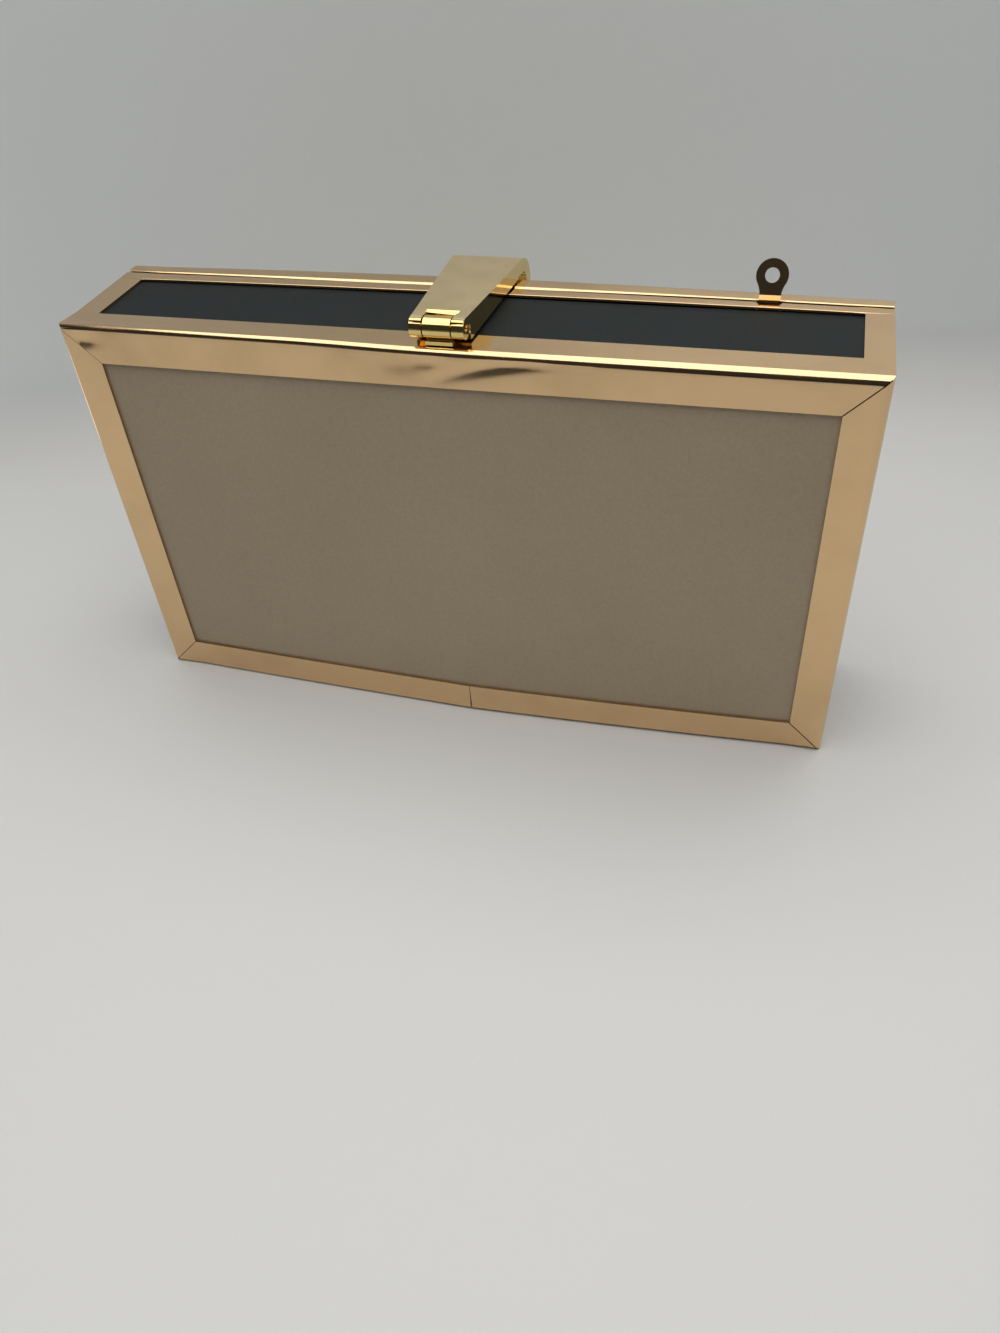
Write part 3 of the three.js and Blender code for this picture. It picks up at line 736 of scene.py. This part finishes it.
# %% Black insets: each step's width and lift in mm
PADDING = ((1.0, 0), (0.6, 0.06), (0.8, 0.1), (1.2, 0.06), (3, 0.03))


def inset_board(node, axis, side):
    low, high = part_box(node)
    board = add_block(node + "_board", low, high)
    outer = (high if side > 0 else low)[axis]
    open_mesh(board)
    pick(board, "FACE", lambda face: near(face.calc_center_median()[axis], outer))
    for width, lift in PADDING:
        bpy.ops.mesh.inset(thickness=width * MM, depth=lift * MM)
    close_mesh()
    ease_edges(board, 0.25 * MM)
    smooth(board, 30)
    return dress(board, "case", "black_leather", black_leather, node)


inset_board("top_inset", 2, 1)
inset_board("left_inset", 0, -1)
inset_board("right_inset", 0, 1)

# %% [markdown]
# ## The lift clasp
# The clasp is a die-cast lever. Its satin top widens to the rear and bends down into a lip that
# hooks behind the lid, and polished skirts run down its sides. It starts as a block: the plan is
# tapered, the top tilted, the rear corner rounded by a wide bevel, and the underside hollowed.

# %% Clasp sizes
CLASP_Y = FRONT + 3 * MM
CLASP_Z = HEIGHT + 4.2 * MM
KNUCKLE = 2.5 * MM
MIDDLE_KNUCKLE = 6.6 * MM
FLAP_FRONT = FRONT + 1.2 * MM
LID_BACK = BACK + LID_BOW
LIP_INNER = LID_BACK + 5.1 * MM
LIP_OUTER = LIP_INNER + 3.1 * MM
FLAP_TOP = CLASP_Z + KNUCKLE
FLAP_LOW = HEIGHT - 4.6 * MM
FLAP_FALL = 2.8 * MM
FRONT_HALF = 6.4 * MM
REAR_HALF = 9.7 * MM
SKIRT = 1.6 * MM
SKIRT_GAP = 0.5 * MM
SLOT_END = CLASP_Y + 3.6 * MM
SLOT_HALF = MIDDLE_KNUCKLE / 2 + CLEARANCE
SLOT_EASE = 0.6 * MM
REAR_BEND, FRONT_BEND, HOLLOW_BEND = 6 * MM, 0.8 * MM, 3 * MM
PLATE = 1.6 * MM
CLASP_PIN = 0.8 * MM
PIN_PLAY = 0.08 * MM
FLAP_LONG = LIP_OUTER - FLAP_FRONT
print("clasp in mm:", round(FLAP_LONG / MM, 1), "by", round(2 * REAR_HALF / MM, 1))


def flap_top_at(y):
    return FLAP_TOP - FLAP_FALL * (y - FLAP_FRONT) / FLAP_LONG


def flap_half_at(y):
    return FRONT_HALF + (REAR_HALF - FRONT_HALF) * (y - FLAP_FRONT) / FLAP_LONG


# %% Shape the lever
def tapered_block(name, y_from, y_to, z_low, z_high, drawn_in=0.0):
    block = add_block(name, (-1, y_from, z_low), (1, y_to, z_high))
    for vertex in block.data.vertices:
        vertex.co.x *= flap_half_at(vertex.co.y) - drawn_in
    return block


flap = tapered_block("clasp_lever", FLAP_FRONT, LIP_OUTER, FLAP_LOW, FLAP_TOP)
open_mesh(flap)
pick(flap, "VERT", lambda v: near(v.co.y, LIP_OUTER) and near(v.co.z, FLAP_TOP))
bpy.ops.transform.translate(value=(0, 0, -FLAP_FALL))
round_edges(flap, REAR_BEND, 18, lambda place: near(place.y, LIP_OUTER) and place.z > HEIGHT)
round_edges(
    flap, FRONT_BEND, 4, lambda place: near(place.y, FLAP_FRONT) and near(place.z, FLAP_TOP))
close_mesh()
print("lever starts with", len(flap.data.polygons), "faces")

# %% Hollow the lever and cut its slot
WIDE = 20 * MM
BELOW = HEIGHT - 10 * MM
AHEAD = FLAP_FRONT - WIDE
OPENING_TOP = HEIGHT + 0.9 * MM
BORE = CLASP_PIN + PIN_PLAY
nose = add_block("nose", (-WIDE, AHEAD, BELOW), (WIDE, CLASP_Y + KNUCKLE, CLASP_Z))
under = add_block(
    "under", (-WIDE, AHEAD, BELOW), (WIDE, LID_BACK - 0.9 * MM, HEIGHT + SKIRT_GAP))
side_opening = add_block(
    "opening", (-WIDE, LID_BACK - 1.2 * MM, BELOW), (WIDE, LIP_INNER, OPENING_TOP))
open_mesh(side_opening)
round_edges(
    side_opening, HOLLOW_BEND, 8,
    lambda place: near(place.z, OPENING_TOP) and near(place.y, LIP_INNER))
close_mesh()
hollow = tapered_block("hollow", SLOT_END, LIP_INNER, BELOW, HEIGHT, SKIRT)
open_mesh(hollow)
for y in (SLOT_END, LIP_INNER):
    pick(hollow, "VERT", lambda v: near(v.co.y, y) and near(v.co.z, HEIGHT))
    bpy.ops.transform.translate(value=(0, 0, flap_top_at(y) - PLATE - HEIGHT))
round_edges(hollow, HOLLOW_BEND, 8, lambda place: near(place.y, LIP_INNER) and place.z > HEIGHT)
close_mesh()
combine(flap, "DIFFERENCE", nose, under, side_opening, hollow)
combine(flap, "UNION", add_bar("knuckles", KNUCKLE, -6.5 * MM, 6.5 * MM, CLASP_Y, CLASP_Z, 64))
combine(
    flap, "DIFFERENCE",
    add_block("slot", (-SLOT_HALF, AHEAD, BELOW), (SLOT_HALF, SLOT_END, FLAP_TOP + WIDE)),
    add_bar("bore", BORE, -WIDE, WIDE, CLASP_Y, CLASP_Z),
)
chamfer = add_block("chamfer", (-4 * MM, -SLOT_EASE, -SLOT_EASE), (4 * MM, SLOT_EASE, SLOT_EASE))
chamfer.rotation_euler.x = math.radians(45)
chamfer.location = (0, SLOT_END, flap_top_at(SLOT_END))
combine(flap, "DIFFERENCE", settle(chamfer))
ease_edges(flap, 0.3 * MM, angle=40)
smooth(flap, 30)

# %% Satin on the top and the lip, polish on the rest
dress(flap, "clasp", "satin_gilt", satin_gilt, "clasp_flap")
flap.data.materials.append(yellow_gilt)


def is_satin(face):
    y, z = face.center.y, face.center.z
    outside = z > flap_top_at(y) - 0.5 * MM or y > LIP_INNER + MM
    faces_out = face.normal.z > 0.85 or face.normal.y > 0.3
    return abs(face.normal.x) < 0.15 and outside and faces_out and y > FLAP_FRONT + 0.9 * MM


for face in flap.data.polygons:
    face.material_index = 0 if is_satin(face) else 1
print("satin faces:", sum(face.material_index == 0 for face in flap.data.polygons))

# %% [markdown]
# The lever turns on a pin through a middle knuckle. That knuckle stands on a small plate that is
# fixed to the case's top, so it stays with the case while the lever lifts.

# %% Middle knuckle and pin
BASE_FRONT = FRONT + 1.7 * MM
BASE_LONG = 12 * MM
BASE_LOW = HEIGHT + CLEARANCE
BASE_HIGH = BASE_LOW + 0.9 * MM
TONGUE_FRONT = FRONT + 3.2 * MM
TONGUE_BACK = TONGUE_FRONT + 2.4 * MM
half = MIDDLE_KNUCKLE / 2
clasp_base = add_block(
    "clasp_knuckle", (-half, BASE_FRONT, BASE_LOW), (half, BASE_FRONT + BASE_LONG, BASE_HIGH))
combine(
    clasp_base, "UNION",
    add_block("tongue", (-half, TONGUE_FRONT, BASE_LOW), (half, TONGUE_BACK, CLASP_Z)),
    add_bar("knuckle", KNUCKLE, -half, half, CLASP_Y, CLASP_Z, 64),
)
combine(clasp_base, "DIFFERENCE", add_bar("bore", BORE, -WIDE, WIDE, CLASP_Y, CLASP_Z))
ease_edges(clasp_base, 0.2 * MM, angle=40)
smooth(clasp_base, 30)
dress(clasp_base, "case", "gilt", yellow_gilt, "clasp_base")

PIN_HALF = 6.2 * MM
clasp_pin = add_bar("clasp_pin_rod", CLASP_PIN, -PIN_HALF, PIN_HALF, CLASP_Y, CLASP_Z)
ease_edges(clasp_pin, 0.3 * MM, steps=4)
smooth(clasp_pin)
dress(clasp_pin, "clasp", "gilt", yellow_gilt, "clasp_pin")

# %% [markdown]
# ## The strap tab
# The tab was stamped from flat sheet with a round eye and then folded: it stands in a notch at the
# seam, bends back over the rim and stands up again, leaning a little. It is modelled flat and sliced
# across where it will bend. Each slice is then carried along the folded line, as a press carries it.

# %% Flat blank of the tab
HEAD = 3.75 * MM
NECK_HALF = 2.5 * MM
NECK_FLARE = 0.6 * MM
TAB_FRONT = TAB_BACK - TAB_SHEET
ROOT_RISE = 0.7 * MM
SLOPE = 1.29 * MM
EYE = 1.7 * MM
SLICE = 0.1 * MM
EYE_UP = ROOT_RISE + SLOPE + 4.47 * MM
ROOT_LOW = -BEHIND_SHEET - TAB_SHEET


def add_disc(name, radius, thickness):
    disc = add(
        bpy.ops.mesh.primitive_cylinder_add, vertices=72, radius=radius, depth=thickness,
        location=(TAB_X, TAB_SHEET / 2, EYE_UP), rotation=(math.pi / 2, 0, 0),
    )
    return settle(disc, name)


neck_top = EYE_UP - math.sqrt(HEAD ** 2 - (NECK_HALF + NECK_FLARE) ** 2)
neck = add_block(
    "neck", (TAB_X - NECK_HALF, 0, ROOT_LOW), (TAB_X + NECK_HALF, TAB_SHEET, neck_top))
open_mesh(neck)
for share in range(1, 20):
    slice_at(neck, 2, ROOT_LOW + (neck_top - ROOT_LOW) * share / 20)
close_mesh()
for vertex in neck.data.vertices:
    share = max(0, (vertex.co.z - neck_top + 2.5 * MM) / (2.5 * MM))
    vertex.co.x += math.copysign(NECK_FLARE * share ** 2, vertex.co.x - TAB_X)
tab = add_disc("strap_tab_tongue", HEAD, TAB_SHEET)
combine(tab, "UNION", neck)
combine(tab, "DIFFERENCE", add_disc("eye", EYE, 4 * TAB_SHEET))
ease_edges(tab, 0.12 * MM, angle=40, steps=2)
open_mesh(tab)
for step in range(-4, 22):
    slice_at(tab, 2, ROOT_RISE + step * SLICE)
close_mesh()
print("flat blank in mm:", round((EYE_UP + HEAD - ROOT_LOW) / MM, 1), "long")

# %% Fold the tab and join its foot
BEND_HALF = 0.2 * MM
BACK_ANGLE, UP_ANGLE = 54.5, 34.5
STRIDE = 0.02 * MM


def lean_at(height):
    first = soft_step(height, ROOT_RISE - BEND_HALF, ROOT_RISE + BEND_HALF)
    second = soft_step(height, ROOT_RISE + SLOPE - BEND_HALF, ROOT_RISE + SLOPE + BEND_HALF)
    return math.radians(BACK_ANGLE * first - UP_ANGLE * second)


folded_line = [Vector((0, TAB_FRONT, HEIGHT + ROOT_LOW))]
while len(folded_line) * STRIDE < EYE_UP + HEAD - ROOT_LOW + 2 * STRIDE:
    lean = lean_at(ROOT_LOW + len(folded_line) * STRIDE)
    folded_line.append(folded_line[-1] + STRIDE * Vector((0, math.sin(lean), math.cos(lean))))
for vertex in tab.data.vertices:
    lean = lean_at(vertex.co.z)
    start = folded_line[max(0, round((vertex.co.z - ROOT_LOW) / STRIDE))]
    back = Vector((0, math.cos(lean), -math.sin(lean)))
    vertex.co = start + back * vertex.co.y + Vector((vertex.co.x, 0, 0))
foot_top = HEIGHT - BEHIND_SHEET
combine(tab, "UNION", add_block(
    "foot", (TAB_X - 4 * MM, TAB_FRONT - 1.8 * MM, foot_top - TAB_SHEET),
    (TAB_X + 4 * MM, TAB_FRONT + 0.1 * MM, foot_top)))
smooth(tab, 30)

# %% Finish the tab, with a painted reflection on its up-facing bend
dress(tab, "case", "gilt", rose_gilt, "strap_tab")
tab.data.materials.append(painted_reflection_gilt)
# Faces that face up above the case take the darker gilt, as a painted reflection.
for face in tab.data.polygons:
    face.material_index = 1 if face.normal.z > 0.6 and face.center.z > HEIGHT else 0
print("tab's top in mm:", round(max(v.co.z for v in tab.data.vertices) / MM, 2))

# %% [markdown]
# ## The piano hinge
# Case and lid turn on a piano hinge under the seam: knuckles rolled from two leaves, in turn, on
# one long pin. Each leaf is a strip with tongues that run out to its own knuckles.

# %% Hinge
HINGE_HALF = HALF_WIDTH - 0.4 * MM
HINGE_KNUCKLE = 1.2 * MM
HINGE_PIN = 0.5 * MM
HINGE_LEAF = 0.6 * MM
CASE_LEAF_DEEP, LID_LEAF_TALL = 7 * MM, 8 * MM
TONGUE_END = 0.85 * MM
KNUCKLES = 7
PITCH = 2 * HINGE_HALF / KNUCKLES


def knuckle_spans(first):
    starts = [-HINGE_HALF + i * PITCH + CLEARANCE / 2 for i in range(first, KNUCKLES, 2)]
    return [(start, start + PITCH - CLEARANCE) for start in starts]


def hinge_leaf(name, leaf_low, leaf_high, spans, tongue):
    leaf = add_block(name, leaf_low, leaf_high)
    for x_from, x_to in spans:
        low, high = tongue(x_from, x_to)
        combine(leaf, "UNION", add_block("tongue", low, high))
        combine(leaf, "UNION", add_bar("roll", HINGE_KNUCKLE, x_from, x_to, SEAM, HINGE_Z))
    bore, past_end = HINGE_PIN + PIN_PLAY, 2 * HINGE_HALF
    combine(leaf, "DIFFERENCE", add_bar("bore", bore, -past_end, past_end, SEAM, HINGE_Z))
    ease_edges(leaf, 0.1 * MM, angle=40, steps=2)
    return smooth(leaf, 30)


case_half = HALF_WIDTH - BEHIND_SHEET
leaf_back = SEAM - HINGE_KNUCKLE - CLEARANCE
case_leaf = hinge_leaf(
    "case_hinge_strip", (-case_half, leaf_back - CASE_LEAF_DEEP, BEHIND_SHEET),
    (case_half, leaf_back, BEHIND_SHEET + HINGE_LEAF), knuckle_spans(0),
    lambda x_from, x_to: (
        (max(x_from, -case_half), leaf_back - HINGE_LEAF, BEHIND_SHEET),
        (min(x_to, case_half), SEAM - TONGUE_END, BEHIND_SHEET + HINGE_LEAF)),
)
dress(case_leaf, "case", "gilt", rose_gilt, "case_hinge_leaf")
lid_spans = knuckle_spans(1)
leaf_y = BACK - BEHIND_SHEET - LID_BOARD - CLEARANCE
leaf_low = HINGE_Z + HINGE_KNUCKLE + CLEARANCE
lid_leaf = hinge_leaf(
    "lid_hinge_strip", (-lid_spans[-1][1], leaf_y - HINGE_LEAF, leaf_low),
    (lid_spans[-1][1], leaf_y, leaf_low + LID_LEAF_TALL), lid_spans,
    lambda x_from, x_to: (
        (x_from, leaf_y - HINGE_LEAF, HINGE_Z + TONGUE_END), (x_to, leaf_y, leaf_low + HINGE_LEAF)),
)
dress(lid_leaf, "lid", "gilt", rose_gilt, "lid_hinge_leaf")
hinge_pin = add_bar("hinge_pin_rod", HINGE_PIN, -HINGE_HALF, HINGE_HALF, SEAM, HINGE_Z)
ease_edges(hinge_pin, 0.15 * MM)
smooth(hinge_pin)
dress(hinge_pin, "case", "gilt", rose_gilt, "hinge_pin")

# %% [markdown]
# ## Floor and light
# The bag stands in a small white light box: a pale floor that curves up into a back wall just behind
# it, turned to face the camera. Floor and wall are one stage piece, which isn't part of the object.
# The light box is uneven outside the picture, and polished metal shows that: far in front of the bag
# the floor's colour is painted dark, as painted shade where the light falls off, and a few soft
# patches of the card glow. Each patch is a strength and the soft edges that bound it, from where it
# is nought to where it is full, along X, Y or Z in metres.

# %% White card with soft patches of light
def calculate(tree, operation, first, second):
    inputs = {0: first, 1: second}
    return add_node(tree, "ShaderNodeMath", inputs, operation=operation).outputs["Value"]


def paper(name, colour, wall_colour, far_shade_colour, rough, lamps):
    material, tree = start_material(name)
    place = add_node(tree, "ShaderNodeTexCoord").outputs["Object"]
    split = add_node(tree, "ShaderNodeSeparateXYZ", {"Vector": place})
    upwards = ramp(tree, split.outputs["Z"], 4 * MM, 40 * MM)
    # Far in front of the bag the floor's colour fades to dark grey: painted shade.
    far_shade = ramp(tree, split.outputs["Y"], -0.27, -0.45)
    wall = blend(tree, upwards, linear(colour), linear(wall_colour), data_type="RGBA")
    tone = blend(tree, far_shade, wall, linear(far_shade_colour), data_type="RGBA")
    glow = 0.0
    for strength, *edges in lamps:
        lamp = strength
        for axis, start, end in edges:
            edge = ramp(tree, split.outputs[axis], start, end)
            lamp = calculate(tree, "MULTIPLY", edge, lamp)
        glow = calculate(tree, "ADD", lamp, glow)
    return finish_material(material, {
        "Base Color": tone, "Roughness": rough, "Specular IOR Level": 0.3,
        "Emission Color": linear("#FFFFFF"), "Emission Strength": glow,
    })


LAMPS = [
    (0.22, ("X", -0.08, 0.05), ("Z", 0.15, 0.18)),
    (0.05, ("X", -0.10, -0.18), ("Y", -0.05, -0.14)),
    (1.5, ("X", -0.25, -0.265), ("X", -0.37, -0.355), ("Y", -0.06, -0.03), ("Y", 0.05, 0.025)),
]
# The dark grey far colour is painted shade.
card = paper("matt_white_card", "#DADAD9", "#E7EBEC", "#303030", 0.6, LAMPS)

# %% Floor that curves up into the back wall
WALL_TURN = math.radians(15.2)
wall_point = Vector((-36 * MM, 158 * MM + FRONT, 0))
FLOOR_HALF = 1.5
FLOOR_REACH = 2.2
WALL_HEIGHT = 0.34
WALL_CURVE = 30 * MM
floor = add(bpy.ops.mesh.primitive_plane_add, size=1)
floor.scale = (2 * FLOOR_HALF, FLOOR_REACH, 1)
floor.location = (0, -FLOOR_REACH / 2, 0)
settle(floor, "floor")
open_mesh(floor)
pick(floor, "EDGE", lambda edge: all(near(v.co.y, 0) for v in edge.verts))
bpy.ops.mesh.extrude_region_move(TRANSFORM_OT_translate={"value": (0, 0, WALL_HEIGHT)})
round_edges(floor, WALL_CURVE, 16, lambda place: near(place.y, 0) and near(place.z, 0))
close_mesh()
floor.rotation_euler.z = WALL_TURN
floor.location = wall_point
settle(floor)
smooth(floor, 60)
floor.data.materials.append(card)
print("wall behind the bag in mm:", round((wall_point.y - BACK) / MM))

# %% [markdown]
# One wide panel over the bag lights it evenly and draws the bright lines along the folds. The room
# behind the camera is dimmer than the room ahead of it, and the polished metal shows the difference.

# %% Lights
def add_panel(name, place, aim, size, power, colour):
    light = add(bpy.ops.object.light_add, type="AREA", location=place)
    light.name = name
    light.data.shape = "RECTANGLE"
    light.data.size, light.data.size_y = size
    light.data.energy = power
    light.data.color = colour
    light.rotation_euler = (Vector(aim) - Vector(place)).to_track_quat("-Z", "Y").to_euler()
    print(name, "gives", round(power, 1), "W")


add_panel("ceiling_panel", (0, -0.05, 0.6), (0, -0.05, 0), (0.8, 0.84), 4.5, (1, 0.99, 0.97))
world = bpy.data.worlds.new("soft_room")
bpy.context.scene.world = world
world.use_nodes = True
room = world.node_tree
room.nodes.clear()
facing = add_node(room, "ShaderNodeTexCoord").outputs["Generated"]
split = add_node(room, "ShaderNodeSeparateXYZ", {"Vector": facing})
behind = ramp(room, split.outputs["Y"], -0.5, 0.1, 0.2)
dim = calculate(room, "MAXIMUM", behind, 0.04)
sky = add_node(room, "ShaderNodeBackground", {"Color": linear("#F4F6F5"), "Strength": dim})
add_node(room, "ShaderNodeOutputWorld", {"Surface": sky.outputs["Background"]})
